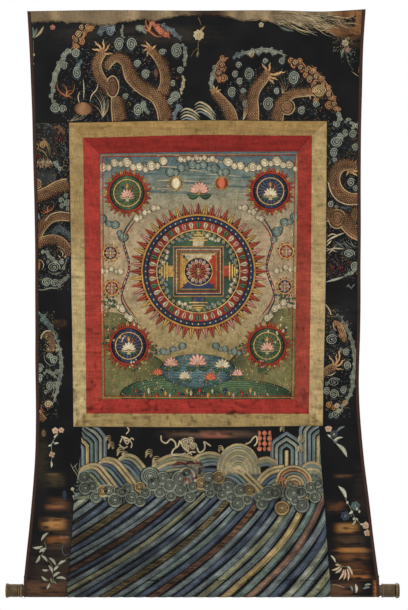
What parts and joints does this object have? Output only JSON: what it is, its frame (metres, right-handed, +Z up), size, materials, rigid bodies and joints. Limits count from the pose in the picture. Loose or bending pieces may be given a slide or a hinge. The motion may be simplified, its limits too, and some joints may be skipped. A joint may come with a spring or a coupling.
{
  "type": "thangka scroll painting",
  "caption": "Hanging scroll: a painted canvas in red and gold silk borders, set in dark embroidered silk panels, with a wooden roller and brass caps at the foot.",
  "frame": {"origin": "middle of the top edge, where the hanging is held", "axes": "+Z up, the painted front faces -Y, +X to the viewer's right"},
  "size_m": [0.983, 0.0381, 1.472],
  "materials": {
    "dark_silk": "dark blue-black silk satin with worn silk embroidery",
    "gold_silk": "faded gold silk, plain weave",
    "red_silk": "faded red silk, plain weave",
    "binding_silk": "dull red-brown silk, plain weave",
    "canvas": "sized cotton with matte ground pigments",
    "wood": "turned softwood, oiled",
    "brass": "old brass, dulled in the hollows"
  },
  "bodies": {
    "root": {"top_panel": "dark_silk", "left_panel": "dark_silk", "right_panel": "dark_silk", "lower_left_panel": "dark_silk", "lower_middle_panel": "dark_silk", "lower_right_panel": "dark_silk", "left_binding": "binding_silk", "right_binding": "binding_silk", "gold_top": "gold_silk", "gold_bottom": "gold_silk", "gold_left": "gold_silk", "gold_right": "gold_silk", "red_top": "red_silk", "red_bottom": "red_silk", "red_left": "red_silk", "red_right": "red_silk", "painting": "canvas", "dowel": "wood", "left_cap": "brass", "right_cap": "brass"}
  },
  "joints": []
}
